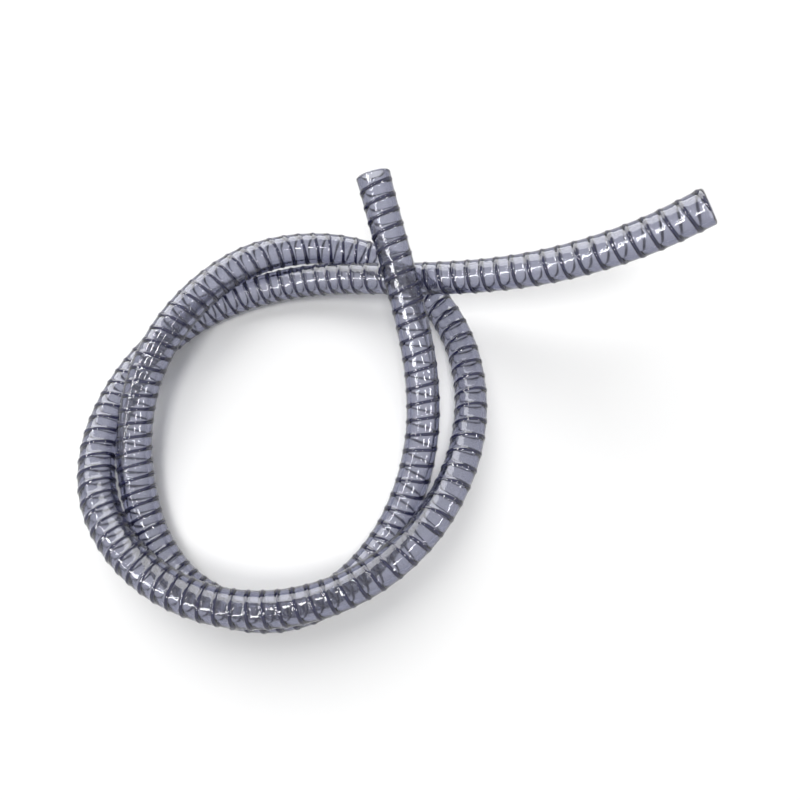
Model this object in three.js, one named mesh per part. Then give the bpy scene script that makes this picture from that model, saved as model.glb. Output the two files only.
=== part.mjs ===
// A length of clear flexible hose with a steel wire helix in its wall, cut square at both ends and lying
// in two loose turns. Millimetres, +Z up. The hose rests on the plane z = 0, and the origin is under the
// middle of its box.
//
// The wall is built as such a hose is made: an inner liner with the bore, the wire wound on it, and an
// outer cover over the wire. All three follow one row of section frames. Each section has eight sides and
// the wire has eight steps to a turn, so the wire runs from corner to corner between the two layers.

import * as THREE from "three";

// --- Driving sizes -----------------------------------------------------------------------------------

const hoseOuter = 19; // outer diameter, across the corners of the section
const hoseWall = 3; // from the outer surface to the bore
const wireDiameter = 1.2;
const wireTurns = 100;
const layerGap = 0.35; // between the wire and the layer on either side of it
const wireEndInset = 2.5; // from a cut end to the first turn of the wire
const strandGap = 0.6; // between strands that cross on top of each other
const ringSpacing = 27; // between sections, 24 to a turn of about 205 mm

const hoseSides = 8; // also the wire's steps to a turn
const wireSides = 5;

// --- Route -------------------------------------------------------------------------------------------

// The middle line, from the raised right-hand end, round two turns, to the upper end. Each point is
// [x, y, layer]: layer 0 lies on the ground, layer 1 rests on a strand of layer 0, and so on. Both ends
// stand up from the strands they cross.
const routePoints = [
  [157.2, 72.5, 4.83], [137.2, 67.9, 4.07], [114.5, 65.6, 3.31], [89.5, 65.7, 2.58], [62.4, 68.3, 1.9],
  [33.6, 72.7, 1.31], [3.3, 77.7, 0.82], [-28.1, 81.1, 0.43], [-59.4, 79.9, 0.16], [-89.5, 72.2, 0.02],
  [-116.6, 56.7, 0], [-137.9, 33.9, 0.03], [-151.4, 6.1, 0.15], [-155.2, -24, 0.39], [-148, -52.9, 0.69],
  [-130.7, -77.5, 0.91], [-107, -95.7, 1.01], [-79.2, -106.1, 1.03], [-49.5, -107.9, 1.03],
  [-20.4, -101.5, 1.02], [6, -87.5, 0.98], [27.7, -66.9, 0.86], [43.3, -41.4, 0.67], [52.2, -13.1, 0.44],
  [53.8, 17.1, 0.21], [47.3, 47.5, 0.05], [31.4, 74.8, 0], [7, 94.4, 0.08], [-22.4, 103.1, 0.31],
  [-52.4, 100, 0.61], [-78.9, 87.3, 0.9], [-101.2, 67.3, 1.05], [-119.1, 42.2, 1.04],
  [-131.1, 13.8, 0.85], [-135.4, -16.3, 0.53], [-131.9, -46.6, 0.2], [-120.9, -74.9, 0.03],
  [-101.2, -97.1, 0], [-74.6, -109.6, 0], [-45.3, -110.5, 0], [-17.9, -98.8, 0.01], [4.1, -76, 0.09],
  [18.6, -47, 0.3], [25.4, -16.7, 0.62], [25.2, 13, 1.07], [20, 41.6, 1.59], [12.4, 68.7, 2.16],
  [4.8, 93.4, 2.72], [-1.4, 114.5, 3.23],
];

const outerRadius = hoseOuter / 2;
const boreRadius = outerRadius - hoseWall;
const wireRadius = wireDiameter / 2;
const wireRoom = wireDiameter + 2 * layerGap;
const layerThickness = (hoseWall - wireRoom) / 2;
const coverInnerRadius = outerRadius - layerThickness;
const linerOuterRadius = boreRadius + layerThickness;
const wireTrackRadius = coverInnerRadius - layerGap - wireRadius;

const cornerAngle = (2 * Math.PI) / hoseSides;
const groundHeight = outerRadius * Math.cos(cornerAngle / 2); // a flat of the section lies on the ground
const layerStep = hoseOuter + strandGap;

function routeCurve() {
  const knot = ([x, y, layer]) => new THREE.Vector3(x, y, groundHeight + layer * layerStep);
  return new THREE.CatmullRomCurve3(routePoints.map(knot), false, "centripetal");
}

// --- Section frames ----------------------------------------------------------------------------------

// One frame per ring: its middle, and the level and upright directions of its plane, so that one flat of
// every section faces straight down where the hose lies level.
function sectionFrames(curve) {
  const count = Math.round(curve.getLength() / ringSpacing);
  const upright = new THREE.Vector3(0, 0, 1);
  const frames = [];
  for (let i = 0; i <= count; i += 1) {
    const along = curve.getTangentAt(i / count);
    const middle = curve.getPointAt(i / count);
    middle.z = Math.max(middle.z, groundHeight);
    const level = new THREE.Vector3().crossVectors(along, upright).normalize();
    const up = new THREE.Vector3().crossVectors(level, along).normalize();
    frames.push({ middle, level, up });
  }
  return frames;
}

// Corner number `corner` of a section of the given radius. Corner 0 is half a step above the level line.
function sectionCorner(frame, radius, corner) {
  const angle = (corner + 0.5) * cornerAngle;
  return frame.middle
    .clone()
    .addScaledVector(frame.level, radius * Math.cos(angle))
    .addScaledVector(frame.up, radius * Math.sin(angle));
}

// --- Geometry ----------------------------------------------------------------------------------------

function closedGeometry(points, triangles) {
  const places = points.flatMap((point) => point.toArray());
  const geometry = new THREE.BufferGeometry();
  geometry.setAttribute("position", new THREE.Float32BufferAttribute(places, 3));
  geometry.setIndex(triangles);
  geometry.computeVertexNormals();
  return geometry;
}

// Two triangles for the face a, b, c, d, seen anticlockwise from outside.
function addFace(triangles, a, b, c, d) {
  triangles.push(a, b, c, a, c, d);
}

// A pipe with an open bore: the outer skin, the bore skin, and a flat ring at each cut end.
function pipeGeometry(frames, outer, inner) {
  const points = [];
  for (const frame of frames) {
    for (const radius of [outer, inner]) {
      for (let corner = 0; corner < hoseSides; corner += 1) {
        points.push(sectionCorner(frame, radius, corner));
      }
    }
  }
  const outerAt = (ring, corner) => ring * 2 * hoseSides + (corner % hoseSides);
  const innerAt = (ring, corner) => outerAt(ring, corner) + hoseSides;
  const last = frames.length - 1;
  const triangles = [];
  for (let corner = 0; corner < hoseSides; corner += 1) {
    const next = corner + 1;
    for (let ring = 0; ring < last; ring += 1) {
      const far = ring + 1;
      addFace(triangles, outerAt(ring, corner), outerAt(far, corner), outerAt(far, next), outerAt(ring, next));
      addFace(triangles, innerAt(ring, corner), innerAt(ring, next), innerAt(far, next), innerAt(far, corner));
    }
    addFace(triangles, outerAt(0, corner), outerAt(0, next), innerAt(0, next), innerAt(0, corner));
    addFace(triangles, outerAt(last, corner), innerAt(last, corner), innerAt(last, next), outerAt(last, next));
  }
  return closedGeometry(points, triangles);
}

// The wire's middle line, a right-handed helix: one point per step, each on the next corner, between the
// rings before and after it, with the direction straight out from the hose there.
function wireTrack(frames, hoseLength) {
  const steps = wireTurns * hoseSides;
  const last = frames.length - 1;
  const track = [];
  for (let step = 0; step <= steps; step += 1) {
    const distance = wireEndInset + ((hoseLength - 2 * wireEndInset) * step) / steps;
    const place = (distance / hoseLength) * last;
    const ring = Math.min(Math.floor(place), last - 1);
    const share = place - ring;
    const between = (radius) => {
      const behind = sectionCorner(frames[ring], radius, -step);
      return behind.lerp(sectionCorner(frames[ring + 1], radius, -step), share);
    };
    const point = between(wireTrackRadius);
    track.push({ point, outward: point.clone().sub(between(0)).normalize() });
  }
  return track;
}

// A solid rod with five sides along the track, closed by a fan at each end.
function wireGeometry(track) {
  const points = [];
  const last = track.length - 1;
  track.forEach(({ point, outward }, step) => {
    const before = track[Math.max(step - 1, 0)].point;
    const after = track[Math.min(step + 1, last)].point;
    const along = after.clone().sub(before).normalize();
    const across = new THREE.Vector3().crossVectors(along, outward).normalize();
    const out = new THREE.Vector3().crossVectors(across, along);
    for (let side = 0; side < wireSides; side += 1) {
      const angle = (side * 2 * Math.PI) / wireSides;
      const offset = out.clone().multiplyScalar(Math.cos(angle)).addScaledVector(across, Math.sin(angle));
      points.push(point.clone().addScaledVector(offset, wireRadius));
    }
  });
  const at = (step, side) => step * wireSides + (side % wireSides);
  const triangles = [];
  for (let side = 0; side < wireSides; side += 1) {
    for (let step = 0; step < last; step += 1) {
      addFace(triangles, at(step, side), at(step, side + 1), at(step + 1, side + 1), at(step + 1, side));
    }
  }
  for (let side = 1; side < wireSides - 1; side += 1) {
    triangles.push(at(0, 0), at(0, side + 1), at(0, side));
    triangles.push(at(last, 0), at(last, side), at(last, side + 1));
  }
  return closedGeometry(points, triangles);
}

// The least distance between points that are at least `apart` places from each other in the row.
function leastDistance(points, apart) {
  let least = Infinity;
  for (let i = 0; i < points.length; i += 1) {
    for (let j = i + apart; j < points.length; j += 1) {
      least = Math.min(least, points[i].distanceTo(points[j]));
    }
  }
  return least;
}

// --- Materials ---------------------------------------------------------------------------------------

function clearVinyl(color) {
  return new THREE.MeshStandardMaterial({ color, roughness: 0.12, transparent: true, opacity: 0.35 });
}

function springSteel() {
  return new THREE.MeshStandardMaterial({ color: 0x3c3d50, roughness: 0.4, metalness: 0.8 });
}

// --- Assembly ----------------------------------------------------------------------------------------

function namedPiece(name, geometry, material) {
  const piece = new THREE.Mesh(geometry, material);
  piece.name = name;
  return piece;
}

// Strands closer than 2.5 diameters along the hose count as one strand.
function printClearances(curve, track) {
  const samples = curve.getSpacedPoints(Math.round(curve.getLength() / 5));
  const hoseClearance = leastDistance(samples, Math.round((2.5 * hoseOuter) / 5)) - hoseOuter;
  const wireClearance = leastDistance(track.map(({ point }) => point), hoseSides / 2) - wireDiameter;
  console.log(`least gap of the hose to itself ${hoseClearance.toFixed(2)} mm`);
  console.log(`least gap of the wire to itself ${wireClearance.toFixed(2)} mm`);
}

function buildHose() {
  const curve = routeCurve();
  const frames = sectionFrames(curve);
  const track = wireTrack(frames, curve.getLength());
  console.log(`hose length ${curve.getLength().toFixed(1)} mm in ${frames.length - 1} steps`);
  printClearances(curve, track);

  const cover = pipeGeometry(frames, outerRadius, coverInnerRadius);
  const liner = pipeGeometry(frames, linerOuterRadius, boreRadius);
  const hose = new THREE.Group();
  hose.add(
    namedPiece("outer_cover", cover, clearVinyl(0x9fa3b6)),
    namedPiece("wire_helix", wireGeometry(track), springSteel()),
    namedPiece("inner_liner", liner, clearVinyl(0xa9adbf)),
  );

  const box = new THREE.Box3().setFromObject(hose);
  const middle = box.getCenter(new THREE.Vector3());
  hose.position.set(-middle.x, -middle.y, -box.min.z);
  console.log(`moved to the origin by ${hose.position.toArray().map((v) => v.toFixed(2)).join(", ")} mm`);
  return hose;
}

export default buildHose();
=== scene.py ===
"""A length of clear wire-reinforced hose, lying in two loose turns on a pale floor.

The hose is made straight first: its wall by spinning a section, its wire as a helix. Both are then laid
along the route. Metres, +Z up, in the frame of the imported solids.
"""

import math

import bmesh
import bpy
import numpy as np
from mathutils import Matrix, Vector
from mathutils.geometry import interpolate_bezier

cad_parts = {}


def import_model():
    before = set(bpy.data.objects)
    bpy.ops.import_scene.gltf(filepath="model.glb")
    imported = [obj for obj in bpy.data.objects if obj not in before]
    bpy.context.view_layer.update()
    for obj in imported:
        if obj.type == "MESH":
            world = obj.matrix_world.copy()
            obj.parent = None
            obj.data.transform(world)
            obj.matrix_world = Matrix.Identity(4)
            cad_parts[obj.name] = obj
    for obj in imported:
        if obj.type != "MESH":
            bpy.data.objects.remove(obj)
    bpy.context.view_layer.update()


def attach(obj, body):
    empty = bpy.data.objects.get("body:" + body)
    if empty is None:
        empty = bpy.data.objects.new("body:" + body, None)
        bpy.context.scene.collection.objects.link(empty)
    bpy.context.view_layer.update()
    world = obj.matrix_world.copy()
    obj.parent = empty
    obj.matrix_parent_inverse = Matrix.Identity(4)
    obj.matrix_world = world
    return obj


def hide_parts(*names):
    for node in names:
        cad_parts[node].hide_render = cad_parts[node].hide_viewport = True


MM = 0.001
FULL_TURN = 2 * math.pi

# --- Sizes of the hose -------------------------------------------------------------------------------

HOSE_OUTER = 19 * MM
HOSE_WALL = 3 * MM
WIRE_DIAMETER = 1.4 * MM
WIRE_DEPTH = 1.45 * MM  # from the outer surface to the middle of the wire
RIGHT_WIRE_INSET = 0.4 * MM  # from the right-hand cut end to the wire's end
UPPER_WIRE_INSET = 4.5 * MM
STRAND_GAP = 0.6 * MM  # between strands that cross on top of each other
RIDGE_HEIGHT = 0.5 * MM  # of the cover over the wire, half of it above the mean surface
RIDGE_WIDTH = 0.12  # of a turn of the wire
RIDGE_FADE = (1.35 * MM, 5.85 * MM)  # from the upper cut end, where the ridges rise to their full height
CUT_EDGE = 0.5 * MM  # how far the rims of each cut end are rounded
END_ROUNDING = 1.2 * MM  # how much narrower the outer surface is at each cut end

SIDES = 26  # round the hose
RING_SPACING = 0.5 * MM  # between rings of the outer surface
BORE_SPACING = 3 * MM
EDGE_SEGMENTS = 3
WIRE_STEPS = 32  # to a turn

OUTER_RADIUS = HOSE_OUTER / 2
BORE_RADIUS = OUTER_RADIUS - HOSE_WALL
WIRE_TRACK = OUTER_RADIUS - WIRE_DEPTH
REST_HEIGHT = OUTER_RADIUS + RIDGE_HEIGHT / 2  # of the middle line, where the ridges lie on the ground

# The middle line, from the raised right-hand end, round two turns, to the upper end. Each point is
# (x, y, layer): layer 0 lies on the ground, layer 1 rests on a strand of layer 0, and so on.
ROUTE_POINTS = [
    (0.1572, 0.0725, 4.83), (0.1372, 0.0679, 4.07), (0.1145, 0.0656, 3.31), (0.0895, 0.0657, 2.58),
    (0.0624, 0.0683, 1.9), (0.0336, 0.0727, 1.31), (0.0033, 0.0777, 0.82), (-0.0281, 0.0816, 0.43),
    (-0.0594, 0.0802, 0.16), (-0.0895, 0.0722, 0.02), (-0.1166, 0.0567, 0), (-0.1379, 0.0339, 0.03),
    (-0.1514, 0.0061, 0.15), (-0.1552, -0.0240, 0.39), (-0.1480, -0.0529, 0.69), (-0.1307, -0.0775, 0.91),
    (-0.1070, -0.0957, 1.01), (-0.0792, -0.1061, 1.03), (-0.0495, -0.1079, 1.03), (-0.0204, -0.1015, 1.02),
    (0.0060, -0.0875, 0.98), (0.0277, -0.0669, 0.86), (0.0433, -0.0414, 0.67), (0.0522, -0.0131, 0.44),
    (0.0538, 0.0171, 0.21), (0.0473, 0.0475, 0.05), (0.0314, 0.0748, 0), (0.0070, 0.0944, 0.08),
    (-0.0224, 0.1026, 0.31), (-0.0524, 0.0995, 0.61), (-0.0789, 0.0873, 0.9), (-0.1012, 0.0673, 1.05),
    (-0.1191, 0.0422, 1.04), (-0.1311, 0.0138, 0.85), (-0.1354, -0.0163, 0.53), (-0.1319, -0.0466, 0.2),
    (-0.1209, -0.0749, 0.03), (-0.1012, -0.0971, 0), (-0.0746, -0.1096, 0), (-0.0453, -0.1105, 0),
    (-0.0179, -0.0988, 0.01), (0.0041, -0.0760, 0.09), (0.0186, -0.0470, 0.3), (0.0254, -0.0167, 0.62),
    (0.0252, 0.0130, 1.07), (0.0200, 0.0416, 1.59), (0.0124, 0.0687, 2.16), (0.0048, 0.0934, 2.72),
    (-0.0014, 0.1145, 3.23),
]

# The wire isn't wound evenly: (distance along the hose, turns made by then).
WIRE_STATIONS = [
    (0, 0.1), (0.060, 7.0), (0.110, 12.8), (0.147, 17.2), (0.192, 22.0), (0.240, 28.4), (0.290, 35.3),
    (0.380, 47.4), (0.440, 54.9), (0.500, 62.9), (0.600, 75.5), (0.660, 82.0), (0.720, 88.4), (0.780, 95.2),
    (0.840, 102.6), (0.900, 109.8), (0.960, 117.1), (1.010, 123.5), (1.060, 129.9), (1.110, 136.7),
    (1.180, 146.1), (1.250, 154.9), (1.320, 162.9), (1.390, 170.6), (1.425, 174.8), (1.459, 179.1),
]

# --- Route -------------------------------------------------------------------------------------------


def route_knots():
    """The route's points in metres."""
    layer_step = HOSE_OUTER + STRAND_GAP
    return [Vector((x, y, REST_HEIGHT + layer * layer_step)) for x, y, layer in ROUTE_POINTS]


def centripetal_tangents(before, start, end, after):
    """The tangents at both ends of one step of a centripetal Catmull-Rom curve."""
    a = math.sqrt((start - before).length)
    b = math.sqrt((end - start).length)
    c = math.sqrt((after - end).length)
    leaving = ((start - before) / a - (end - before) / (a + b) + (end - start) / b) * b
    arriving = ((end - start) / b - (after - start) / (b + c) + (after - end) / c) * b
    return leaving, arriving


def smooth_line(knots, points_per_step=64):
    """Points on the centripetal curve through the knots."""
    ends = [2 * knots[0] - knots[1], *knots, 2 * knots[-1] - knots[-2]]
    line = []
    for before, start, end, after in zip(ends, ends[1:], ends[2:], ends[3:]):
        leaving, arriving = centripetal_tangents(before, start, end, after)
        step = interpolate_bezier(start, start + leaving / 3, end - arriving / 3, end, points_per_step)
        line.extend(step[:-1])
    return np.array([*line, knots[-1]], float)


def unit(vectors):
    return vectors / np.linalg.norm(vectors, axis=1)[:, None]


class Route:
    """The hose's middle line, with the directions to its left and its upper side all along it."""

    def __init__(self, knots):
        self.line = smooth_line(knots)
        self.line[:, 2] = np.maximum(self.line[:, 2], REST_HEIGHT)
        steps = np.linalg.norm(np.diff(self.line, axis=0), axis=1)
        self.distances = np.concatenate([[0], np.cumsum(steps)])
        self.length = self.distances[-1]
        along = unit(np.gradient(self.line, self.distances, axis=0))
        self.left = unit(np.cross([0.0, 0.0, 1.0], along))
        self.up = np.cross(along, self.left)

    def sample(self, values, distances):
        """The values, one row to each point of the line, at the given distances from its start."""
        return np.stack([np.interp(distances, self.distances, values[:, axis]) for axis in range(3)], 1)

    def lay(self, straight):
        """Where points of the straight hose, which runs along +X, come to lie."""
        distances, across, height = straight.T
        middle = self.sample(self.line, distances)
        left = self.sample(self.left, distances)
        up = self.sample(self.up, distances)
        return middle + left * across[:, None] + up * height[:, None]


def turns_at(distances):
    """How many turns the wire has made at the given distances along the hose."""
    at, turns = zip(*WIRE_STATIONS)
    return np.interp(distances, at, turns)


def distance_at(turns_made):
    """How far along the hose the wire has made the given turns."""
    at, turns = zip(*WIRE_STATIONS)
    return np.interp(turns_made, turns, at)


# --- Pieces ------------------------------------------------------------------------------------------

PLACE = "straight_place"  # where each point was on the straight hose, for the patterns in the materials


def mesh_points(mesh):
    points = np.zeros(len(mesh.vertices) * 3)
    mesh.vertices.foreach_get("co", points)
    return points.reshape(-1, 3)


def linked_object(name, data):
    piece = bpy.data.objects.new(name, data)
    bpy.context.scene.collection.objects.link(piece)
    return piece


def laid_piece(name, mesh, straight, route):
    """A piece of the hose, its points moved from the straight hose to the route."""
    place = mesh.attributes.new(PLACE, "FLOAT_VECTOR", "POINT")
    place.data.foreach_set("vector", straight.ravel())
    mesh.vertices.foreach_set("co", route.lay(straight).ravel())
    mesh.update()
    mesh.shade_smooth()
    return linked_object(name, mesh)


def straight_wall(length):
    """The wall of the straight hose: its section along one side, spun round the middle line."""
    bm = bmesh.new()
    corners = [
        bm.verts.new(place)
        for place in (
            (0, BORE_RADIUS, 0),
            (0, OUTER_RADIUS, 0),
            (length, OUTER_RADIUS, 0),
            (length, BORE_RADIUS, 0),
        )
    ]
    edges = [bm.edges.new(pair) for pair in zip(corners, corners[1:] + corners[:1])]
    outer_edge, bore_edge = edges[1], edges[3]
    bmesh.ops.subdivide_edges(bm, edges=[outer_edge], cuts=round(length / RING_SPACING) - 1)
    bmesh.ops.subdivide_edges(bm, edges=[bore_edge], cuts=round(length / BORE_SPACING) - 1)
    bmesh.ops.spin(
        bm, geom=bm.verts[:] + bm.edges[:], cent=(0, 0, 0), axis=(1, 0, 0), dvec=(0, 0, 0),
        angle=FULL_TURN, steps=SIDES, use_merge=True,
    )
    bmesh.ops.recalc_face_normals(bm, faces=bm.faces[:])
    rims = [edge for edge in bm.edges if edge.is_manifold and edge.calc_face_angle() > math.radians(60)]
    bmesh.ops.bevel(
        bm, geom=rims, offset=CUT_EDGE, segments=EDGE_SEGMENTS, profile=0.5, affect="EDGES", material=-1,
    )
    mesh = bpy.data.meshes.new("hose_wall")
    bm.to_mesh(mesh)
    bm.free()
    return mesh


def raise_ridges(straight, length):
    """The straight wall's points, with its outer surface raised over the wire and rounded at its ends.

    The bore stays as it is.
    """
    distances, across, height = straight.T
    radius = np.hypot(across, height)
    angle = np.arctan2(height, across) / FULL_TURN
    from_wire = (turns_at(distances) - angle + 0.5) % 1 - 0.5
    ridge = np.exp(-((from_wire / RIDGE_WIDTH) ** 2)) - 0.5
    over_wire = np.interp(length - distances, RIDGE_FADE, (0, 1))
    from_cut = np.minimum(distances, length - distances)
    rounding = END_ROUNDING * (1 - np.sqrt(1 - np.clip(1 - from_cut / END_ROUNDING, 0, 1) ** 2))
    outside = np.clip((radius - BORE_RADIUS) / HOSE_WALL, 0, 1) ** 4
    grown = 1 + outside * (over_wire * ridge * RIDGE_HEIGHT - rounding) / radius
    return np.stack([distances, across * grown, height * grown], 1)


def make_wall(route):
    mesh = straight_wall(route.length)
    return laid_piece("hose_wall", mesh, raise_ridges(mesh_points(mesh), route.length), route)


def wire_line(length):
    """Points on the straight wire's middle line, a right-handed helix from end to end."""
    first = turns_at(RIGHT_WIRE_INSET)
    last = turns_at(length - UPPER_WIRE_INSET)
    turns = np.linspace(first, last, round((last - first) * WIRE_STEPS) + 1)
    angles = turns * FULL_TURN
    return np.stack(
        [distance_at(turns), WIRE_TRACK * np.cos(angles), WIRE_TRACK * np.sin(angles)], 1
    )


def straight_wire(length):
    """The straight wire's mesh: a round section swept along its line."""
    line = wire_line(length)
    curve = bpy.data.curves.new("wire", "CURVE")
    curve.dimensions = "3D"
    curve.bevel_depth = WIRE_DIAMETER / 2
    curve.bevel_resolution = 3
    curve.use_fill_caps = True
    spline = curve.splines.new("POLY")
    spline.points.add(len(line) - 1)
    spline.points.foreach_set("co", np.column_stack([line, np.ones(len(line))]).ravel())
    swept = linked_object("wire_curve", curve)
    mesh = bpy.data.meshes.new_from_object(swept)
    bpy.data.objects.remove(swept)
    return mesh


def make_wire(route):
    mesh = straight_wire(route.length)
    return laid_piece("wire", mesh, mesh_points(mesh), route)


# --- Parts of the materials --------------------------------------------------------------------------

WHITE = (1, 1, 1, 1)


def new_material(name):
    material = bpy.data.materials.new(name)
    material.use_nodes = True
    material.node_tree.nodes.clear()
    return material


def add_math(tree, operation, first, second):
    """The result of a math node. Each side is a number or what another node puts out."""
    node = tree.nodes.new("ShaderNodeMath")
    node.operation = operation
    for socket, value in zip(node.inputs, (first, second)):
        if isinstance(value, bpy.types.NodeSocket):
            tree.links.new(value, socket)
        else:
            socket.default_value = value
    return node.outputs["Value"]


def add_range(tree, value, source, target):
    """The value, moved from one range to another."""
    ranged = tree.nodes.new("ShaderNodeMapRange")
    ranged.inputs["From Min"].default_value, ranged.inputs["From Max"].default_value = source
    ranged.inputs["To Min"].default_value, ranged.inputs["To Max"].default_value = target
    tree.links.new(value, ranged.inputs["Value"])
    return ranged.outputs["Result"]


def add_shader_mix(tree, share, first, second):
    """The first shader where the share is 0, and the second where it is 1."""
    mix = tree.nodes.new("ShaderNodeMixShader")
    tree.links.new(share, mix.inputs["Fac"])
    tree.links.new(first, mix.inputs[1])
    tree.links.new(second, mix.inputs[2])
    return mix.outputs["Shader"]


def add_bump(tree, height, distance, below=None):
    bump = tree.nodes.new("ShaderNodeBump")
    bump.inputs["Distance"].default_value = distance
    tree.links.new(height, bump.inputs["Height"])
    if below:
        tree.links.new(below, bump.inputs["Normal"])
    return bump.outputs["Normal"]


def add_place(tree):
    """Where a point was on the straight hose."""
    place = tree.nodes.new("ShaderNodeAttribute")
    place.attribute_name = PLACE
    return place.outputs["Vector"]


def radius_in_wall(tree):
    """How far a point of the straight hose is from its middle line."""
    across = tree.nodes.new("ShaderNodeVectorMath")
    across.operation = "MULTIPLY"
    across.inputs[1].default_value = (0, 1, 1)
    length = tree.nodes.new("ShaderNodeVectorMath")
    length.operation = "LENGTH"
    tree.links.new(add_place(tree), across.inputs[0])
    tree.links.new(across.outputs["Vector"], length.inputs[0])
    return length.outputs["Value"]


def distance_from_cut(tree, length):
    """How far a point of the straight hose is from the nearer cut end."""
    parts = tree.nodes.new("ShaderNodeSeparateXYZ")
    tree.links.new(add_place(tree), parts.inputs["Vector"])
    from_right_end = parts.outputs["X"]
    from_upper_end = add_math(tree, "SUBTRACT", length, from_right_end)
    return add_math(tree, "MINIMUM", from_right_end, from_upper_end)


def straight_noise():
    """A group: noise that follows the straight hose, stretched along it and round it."""
    tree = bpy.data.node_groups.new("Straight Noise", "ShaderNodeTree")
    stretch = tree.interface.new_socket("Stretch", in_out="INPUT", socket_type="NodeSocketVector")
    stretch.default_value = (1, 1, 1)
    tree.interface.new_socket("Noise", in_out="OUTPUT", socket_type="NodeSocketFloat")
    given = tree.nodes.new("NodeGroupInput")
    result = tree.nodes.new("NodeGroupOutput")
    scale = tree.nodes.new("ShaderNodeVectorMath")
    scale.operation = "MULTIPLY"
    noise = tree.nodes.new("ShaderNodeTexNoise")
    noise.inputs["Scale"].default_value = 1
    noise.inputs["Detail"].default_value = 3
    tree.links.new(add_place(tree), scale.inputs[0])
    tree.links.new(given.outputs["Stretch"], scale.inputs[1])
    tree.links.new(scale.outputs["Vector"], noise.inputs["Vector"])
    tree.links.new(noise.outputs["Fac"], result.inputs["Noise"])
    return tree


def add_noise(tree, noise_group, stretch):
    noise = tree.nodes.new("ShaderNodeGroup")
    noise.node_tree = noise_group
    noise.inputs["Stretch"].default_value = stretch
    return noise.outputs["Noise"]


# --- Materials ---------------------------------------------------------------------------------------

BORE_ROUGHNESS = 0.16  # the bore's haze softens the wire's far side
COVER_ROUGHNESS = 0.03
BORE_TO_COVER = (BORE_RADIUS + 0.5 * MM, BORE_RADIUS + 1 * MM)  # where the one gives way to the other
SAWN_ROUGHNESS = 0.5
SAWN_DEPTH = 0.4 * MM  # how far from each cut the marks of the cutting reach


def vinyl_roughness(tree, noise_group, length):
    """Glossy outside, hazier in the bore, both a little cloudy, and matt where the hose is cut."""
    haze = add_range(tree, radius_in_wall(tree), BORE_TO_COVER, (BORE_ROUGHNESS, COVER_ROUGHNESS))
    clouds = add_noise(tree, noise_group, (60, 140, 140))
    cloudy_haze = add_math(tree, "MULTIPLY", haze, add_range(tree, clouds, (0.35, 0.65), (0.75, 1.3)))
    sawn = add_range(tree, distance_from_cut(tree, length), (0, SAWN_DEPTH), (SAWN_ROUGHNESS, 0))
    return add_math(tree, "MAXIMUM", cloudy_haze, sawn)


def vinyl_material(noise_group, length):
    """Clear, faintly smoky vinyl. Lamps shine through it."""
    material = new_material("clear_vinyl")
    tree = material.node_tree
    vinyl = tree.nodes.new("ShaderNodeBsdfPrincipled")
    vinyl.inputs["Base Color"].default_value = WHITE
    vinyl.inputs["IOR"].default_value = 1.53
    vinyl.inputs["Transmission Weight"].default_value = 1
    tree.links.new(vinyl_roughness(tree, noise_group, length), vinyl.inputs["Roughness"])
    wavy = add_bump(tree, add_noise(tree, noise_group, (200, 260, 260)), 0.08 * MM)
    lined = add_bump(tree, add_noise(tree, noise_group, (40, 1300, 1300)), 0.02 * MM, wavy)
    tree.links.new(lined, vinyl.inputs["Normal"])

    lamplight = tree.nodes.new("ShaderNodeBsdfTransparent")
    lamplight.inputs["Color"].default_value = (0.90, 0.895, 0.83, 1)
    smoke = tree.nodes.new("ShaderNodeVolumeAbsorption")
    smoke.inputs["Color"].default_value = (0.595, 0.605, 0.695, 1)
    smoke.inputs["Density"].default_value = 530
    path = tree.nodes.new("ShaderNodeLightPath")
    surface = add_shader_mix(
        tree, path.outputs["Is Shadow Ray"], vinyl.outputs["BSDF"], lamplight.outputs["BSDF"]
    )
    output = tree.nodes.new("ShaderNodeOutputMaterial")
    tree.links.new(surface, output.inputs["Surface"])
    tree.links.new(smoke.outputs["Volume"], output.inputs["Volume"])
    return material


def wire_material(noise_group):
    """Dark drawn spring steel, with fine streaks and dull patches."""
    material = new_material("dark_spring_steel")
    tree = material.node_tree
    steel = tree.nodes.new("ShaderNodeBsdfPrincipled")
    steel.inputs["Metallic"].default_value = 0.4
    patches = add_noise(tree, noise_group, (400, 300, 300))
    color = tree.nodes.new("ShaderNodeMix")
    color.data_type = "RGBA"
    color.inputs["A"].default_value = (0.009, 0.011, 0.058, 1)
    color.inputs["B"].default_value = (0.021, 0.022, 0.085, 1)
    tree.links.new(patches, color.inputs["Factor"])
    tree.links.new(color.outputs["Result"], steel.inputs["Base Color"])
    tree.links.new(add_range(tree, patches, (0.3, 0.7), (0.35, 0.55)), steel.inputs["Roughness"])
    streaks = add_noise(tree, noise_group, (6000, 700, 700))
    tree.links.new(add_bump(tree, streaks, 0.02 * MM), steel.inputs["Normal"])
    output = tree.nodes.new("ShaderNodeOutputMaterial")
    tree.links.new(steel.outputs["BSDF"], output.inputs["Surface"])
    return material


# --- Stage, camera and light -------------------------------------------------------------------------

CAMERA_AIM = Vector((0.0132, 0.0098, 0))
CAMERA_ELEVATION = math.radians(73.2)
CAMERA_DISTANCE = 0.35

FLOOR_HALF_SIZE = 1.6
FLOOR_GLOW = 0.08
PAINTED_LIGHT_UNDER_HOSE = 0.75  # how much of the floor seen through the hose is a white glow: painted light over the hose's own shadow
AMBIENT = 0.12

# Lamps that light the hose and the floor: (name, direction from the hose, side, watts).
SOFT_BOXES = [
    ("north_box", (-0.3, 0.75, 1), 9, 930),
    ("overhead_box", (-0.03, -0.3, 1), 3, 420),
]
SOFT_BOX_DISTANCE = 10

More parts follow.
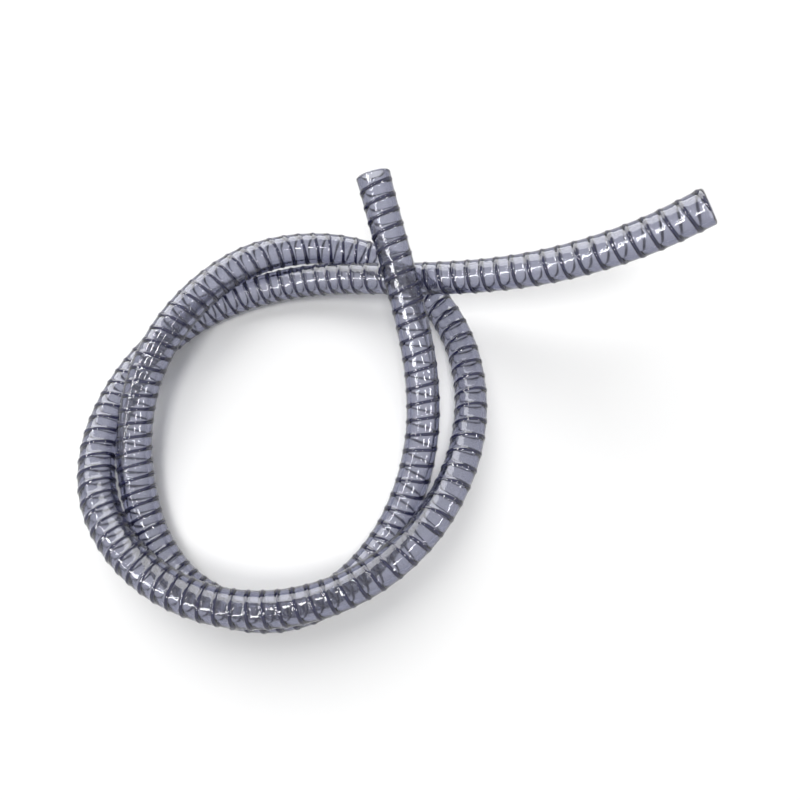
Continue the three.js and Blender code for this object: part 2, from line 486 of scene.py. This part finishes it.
# Lamps that are only seen mirrored in the hose: (name, direction from the hose, width, length,
# brightness). A white card has a brightness of 1.
HIGHLIGHTS = [
    ("north_window", (-0.35, 0.85, 0.5), 2.4, 1.1, 5.5),
    ("upper_lamp", (-0.2, 0, 0.98), 0.3, 0.12, 25),
    ("west_lamp", (-0.69, -0.31, 0.66), 0.18, 0.42, 16),
    ("west_strip", (-0.66, 0.09, 0.74), 0.6, 0.08, 30),
    ("south_west_strip", (-0.4, -0.48, 0.76), 0.75, 0.1, 35),
    ("middle_west_strip", (-0.47, -0.3, 0.83), 0.5, 0.05, 20),
    ("east_strip", (0.33, -0.24, 0.91), 0.3, 0.08, 35),
    ("far_east_lamp", (0.79, -0.2, 0.57), 0.3, 0.12, 35),
]
HIGHLIGHT_DISTANCE = 1.4


def place_facing(thing, middle, direction, distance):
    """Puts a camera or a lamp off in a direction from the given middle, facing it."""
    thing.location = middle + direction * distance
    thing.rotation_euler = (-direction).to_track_quat("-Z", "Y").to_euler()


def add_camera():
    """The photograph's view: close, with a wide lens, from the front and 73 degrees above the horizon."""
    data = bpy.data.cameras.new("camera")
    data.sensor_width = 36
    data.lens = 26
    camera = linked_object("camera", data)
    back = Vector((0, -math.cos(CAMERA_ELEVATION), math.sin(CAMERA_ELEVATION)))
    place_facing(camera, CAMERA_AIM, back, CAMERA_DISTANCE)
    bpy.context.scene.camera = camera


def background_rays(tree):
    """1 for rays that see the background: the camera's, mirrored ones and those through the hose.

    Rays that a matt surface has scattered don't count, so that the hose keeps its soft shadow.
    """
    path = tree.nodes.new("ShaderNodeLightPath")
    seen = path.outputs["Is Camera Ray"]
    for name in ("Is Glossy Ray", "Is Transmission Ray"):
        seen = add_math(tree, "MAXIMUM", seen, path.outputs[name])
    unscattered = add_math(tree, "LESS_THAN", path.outputs["Diffuse Depth"], 0.5)
    return add_math(tree, "MULTIPLY", seen, unscattered)


def add_white(tree, kind, strength):
    """A shader of the given kind that shines white, as a card does at a strength of 1."""
    shader = tree.nodes.new(kind)
    shader.inputs["Color"].default_value = WHITE
    shader.inputs["Strength"].default_value = strength
    return shader.outputs[0]


def add_world():
    """A white background, with little light of its own on the hose."""
    world = bpy.data.worlds.new("studio")
    bpy.context.scene.world = world
    world.use_nodes = True
    tree = world.node_tree
    tree.nodes.clear()
    ambient = add_white(tree, "ShaderNodeBackground", AMBIENT)
    white = add_white(tree, "ShaderNodeBackground", 1)
    output = tree.nodes.new("ShaderNodeOutputWorld")
    tree.links.new(add_shader_mix(tree, background_rays(tree), ambient, white), output.inputs["Surface"])


def floor_material():
    """Pale paint that keeps the hose's shadow, with a glow that only background rays see.

    Through the hose it shows mostly a plain white glow instead: painted light where the hose's own shadow
    falls.
    """
    material = new_material("pale_floor")
    tree = material.node_tree
    paint = tree.nodes.new("ShaderNodeBsdfDiffuse")
    paint.inputs["Color"].default_value = (0.9, 0.9, 0.9, 1)
    glowing = tree.nodes.new("ShaderNodeAddShader")
    tree.links.new(paint.outputs["BSDF"], glowing.inputs[0])
    tree.links.new(add_white(tree, "ShaderNodeEmission", FLOOR_GLOW), glowing.inputs[1])

    path = tree.nodes.new("ShaderNodeLightPath")
    # Painted light: rays through the hose see a white glow in place of the shaded floor.
    through_hose = add_math(tree, "MULTIPLY", path.outputs["Is Transmission Ray"], PAINTED_LIGHT_UNDER_HOSE)
    white = add_white(tree, "ShaderNodeEmission", 1)
    seen = add_shader_mix(tree, through_hose, glowing.outputs["Shader"], white)
    surface = add_shader_mix(tree, background_rays(tree), paint.outputs["BSDF"], seen)
    output = tree.nodes.new("ShaderNodeOutputMaterial")
    tree.links.new(surface, output.inputs["Surface"])
    return material


def add_floor():
    bm = bmesh.new()
    bmesh.ops.create_grid(bm, x_segments=1, y_segments=1, size=FLOOR_HALF_SIZE)
    mesh = bpy.data.meshes.new("floor")
    bm.to_mesh(mesh)
    bm.free()
    mesh.materials.append(floor_material())
    floor = linked_object("floor", mesh)


def add_area_light(name, toward, distance, width, length, watts):
    """A soft box in the given direction from the hose, facing it."""
    data = bpy.data.lights.new(name, "AREA")
    data.shape = "RECTANGLE"
    data.size = width
    data.size_y = length
    data.energy = watts
    lamp = linked_object(name, data)
    place_facing(lamp, Vector((0, 0, 0)), Vector(toward).normalized(), distance)
    return lamp


def add_lights():
    for name, toward, side, watts in SOFT_BOXES:
        box = add_area_light(name, toward, SOFT_BOX_DISTANCE, side, side, watts)
        box.visible_glossy = False
        box.visible_transmission = False
    for name, toward, width, length, brightness in HIGHLIGHTS:
        watts = brightness * math.pi * width * length
        lamp = add_area_light(name, toward, HIGHLIGHT_DISTANCE, width, length, watts)
        lamp.visible_diffuse = False
        lamp.visible_transmission = False


# --- Scene -------------------------------------------------------------------------------------------


def build_scene():
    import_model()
    add_camera()

    route = Route(route_knots())
    wall = make_wall(route)
    noise_group = straight_noise()
    wall.data.materials.append(vinyl_material(noise_group, route.length))
    wire = make_wire(route)
    wire.data.materials.append(wire_material(noise_group))
    for piece, nodes, slot in (
        (wall, ("outer_cover", "inner_liner"), "clear_vinyl_cover"),
        (wire, ("wire_helix",), "steel_wire"),
    ):
        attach(piece, "root")
        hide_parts(*nodes)

    add_floor()
    add_world()
    add_lights()
    bpy.context.scene.view_settings.view_transform = "Standard"


build_scene()
